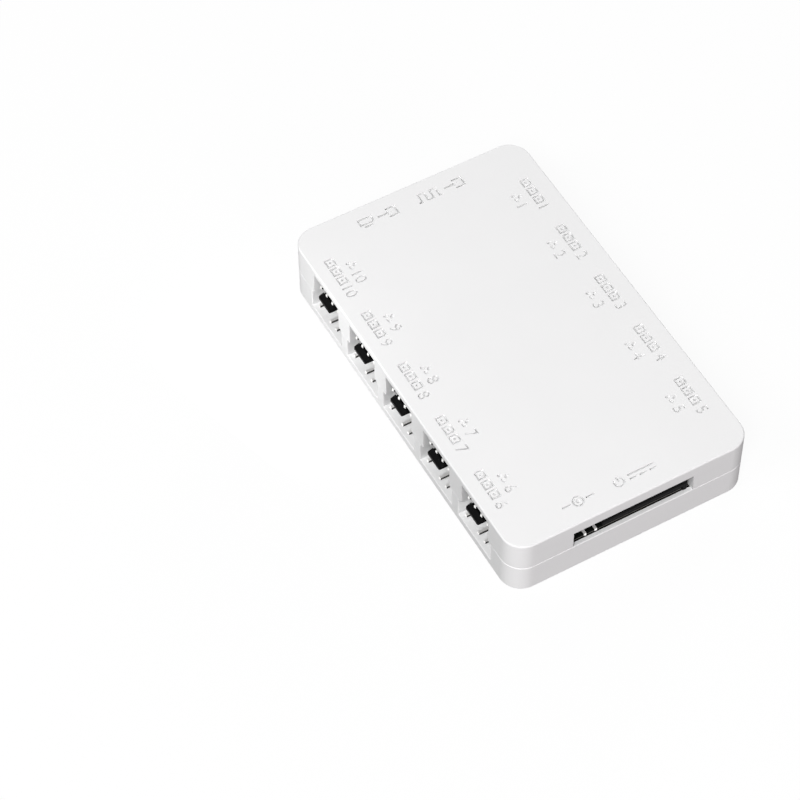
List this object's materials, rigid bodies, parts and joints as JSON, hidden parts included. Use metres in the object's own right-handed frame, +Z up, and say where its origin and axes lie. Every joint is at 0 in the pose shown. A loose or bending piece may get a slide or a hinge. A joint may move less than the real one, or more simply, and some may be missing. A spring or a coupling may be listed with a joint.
{
  "type": "pc fan controller hub",
  "caption": "Flat white plastic hub with stacked fan and light headers in open ports along both long sides, a power plug slot in one end and signal inputs in the other.",
  "frame": {"origin": "middle of the underside", "axes": "+X across the width, +Y along the length towards the signal inputs, +Z up through the cover"},
  "size_m": [0.058, 0.096, 0.0155],
  "materials": {
    "white_case": "fine-grained white moulded plastic",
    "black_housing": "black moulded connector plastic, half gloss",
    "board": "circuit board with black solder mask",
    "contact": "tin-plated brass pins",
    "blade": "gold-flashed flat contacts",
    "screw": "zinc-plated steel",
    "chip": "moulded chip package",
    "fuse": "moulded resettable fuse",
    "capacitor": "bare aluminium can on a black foot"
  },
  "bodies": {
    "root": {"upper_cover": "white_case", "lower_case": "white_case", "circuit_board": "board", "case_screws": "screw", "fan_header_1": "black_housing", "fan_pins_1": "contact", "light_header_1": "black_housing", "light_pins_1": "contact", "fan_header_2": "black_housing", "fan_pins_2": "contact", "light_header_2": "black_housing", "light_pins_2": "contact", "fan_header_3": "black_housing", "fan_pins_3": "contact", "light_header_3": "black_housing", "light_pins_3": "contact", "fan_header_4": "black_housing", "fan_pins_4": "contact", "light_header_4": "black_housing", "light_pins_4": "contact", "fan_header_5": "black_housing", "fan_pins_5": "contact", "light_header_5": "black_housing", "light_pins_5": "contact", "fan_header_6": "black_housing", "fan_pins_6": "contact", "light_header_6": "black_housing", "light_pins_6": "contact", "fan_header_7": "black_housing", "fan_pins_7": "contact", "light_header_7": "black_housing", "light_pins_7": "contact", "fan_header_8": "black_housing", "fan_pins_8": "contact", "light_header_8": "black_housing", "light_pins_8": "contact", "fan_header_9": "black_housing", "fan_pins_9": "contact", "light_header_9": "black_housing", "light_pins_9": "contact", "fan_header_10": "black_housing", "fan_pins_10": "contact", "light_header_10": "black_housing", "light_pins_10": "contact", "power_plug_body": "black_housing", "power_plug_blades": "blade", "key_header_base": "black_housing", "key_header_pins": "contact", "three_pin_input_shroud": "black_housing", "three_pin_input_pins": "contact", "two_pin_input_shroud": "black_housing", "two_pin_input_pins": "contact", "controller_chip": "chip", "buffer_chip": "chip", "power_fuse": "fuse", "bulk_capacitors": "capacitor"}
  },
  "joints": []
}
